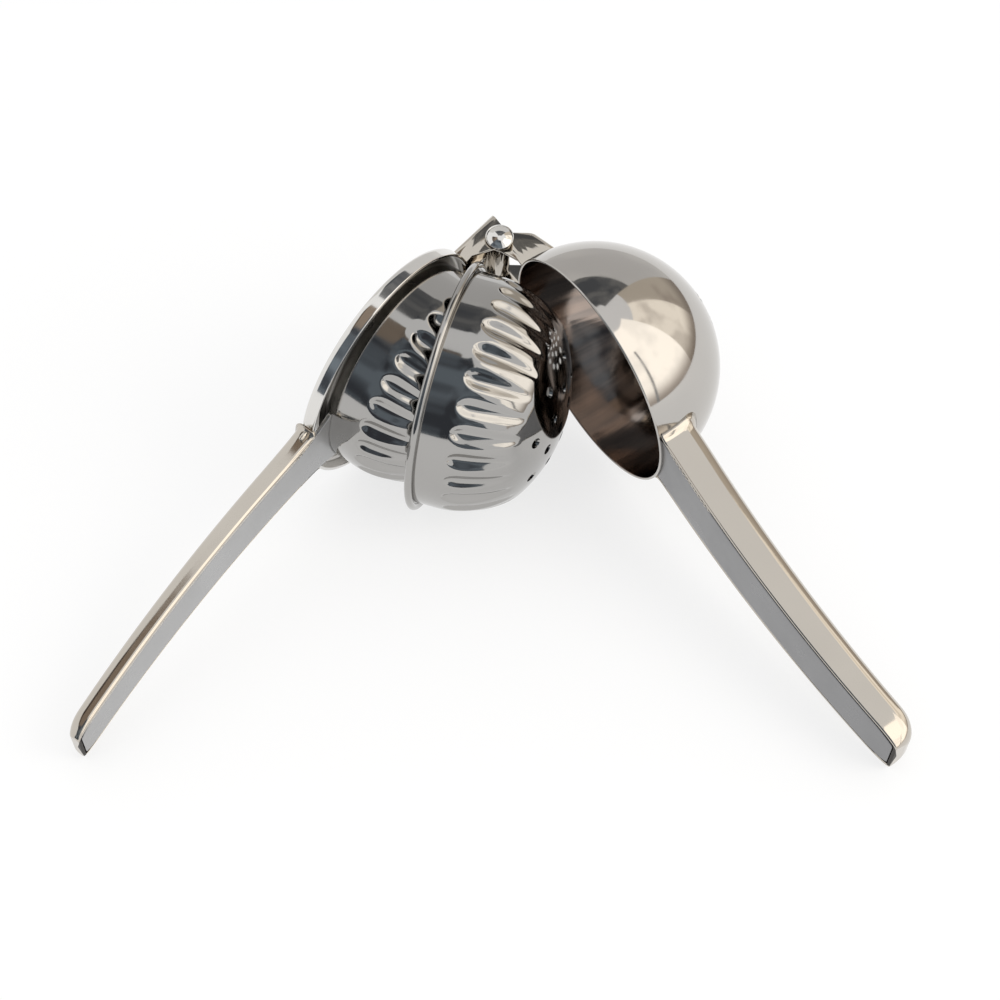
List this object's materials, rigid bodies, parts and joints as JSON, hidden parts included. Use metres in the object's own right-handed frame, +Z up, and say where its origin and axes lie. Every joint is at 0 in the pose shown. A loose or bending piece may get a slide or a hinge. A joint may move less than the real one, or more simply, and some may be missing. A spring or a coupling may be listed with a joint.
{
  "type": "hinged lemon squeezer",
  "caption": "Stainless steel citrus press: plain outer bowl, fluted strainer bowl and fluted press cup on one rivet, with two long box-section handles, lying open on its side.",
  "frame": {"origin": "centre of the bounding box's bottom, on the table that the open squeezer lies on", "axes": "+X from the press handle's tip to the bowl handle's tip, +Y from the handle tips towards the rivet, +Z up from the table"},
  "size_m": [0.225, 0.1625, 0.0755],
  "materials": {
    "bowl_steel": "mirror polished stainless steel",
    "strainer_steel": "mirror polished stainless steel",
    "cup_steel": "mirror polished stainless steel",
    "handle_steel": "mirror polished stainless steel",
    "strip_steel": "satin rolled stainless strip",
    "bracket_steel": "polished stainless sheet",
    "rivet_steel": "polished stainless rivet"
  },
  "bodies": {
    "bowl_arm": {"juice_bowl": "bowl_steel", "bowl_handle_shell": "handle_steel", "bowl_handle_strip": "strip_steel", "bowl_hinge_bracket": "bracket_steel", "hinge_pin": "rivet_steel"},
    "strainer": {"strainer_bowl": "strainer_steel", "strainer_hinge_loop": "bracket_steel"},
    "press_arm": {"press_cup": "cup_steel", "press_ring": "handle_steel", "press_handle_shell": "handle_steel", "press_handle_strip": "strip_steel", "press_hinge_bracket": "bracket_steel"}
  },
  "joints": [
    {"name": "strainer_hinge", "type": "hinge", "parent": "bowl_arm", "child": "strainer", "pos_m": [-0.00014, 0.07047, 0.0487], "axis": [-0.0042, -0.2697, 0.9629], "range_deg": [-10, 50.9]},
    {"name": "press_hinge", "type": "hinge", "parent": "strainer", "child": "press_arm", "pos_m": [-0.00014, 0.07047, 0.0487], "axis": [-0.0042, -0.2697, 0.9629], "range_deg": [-45, 18.6]}
  ]
}
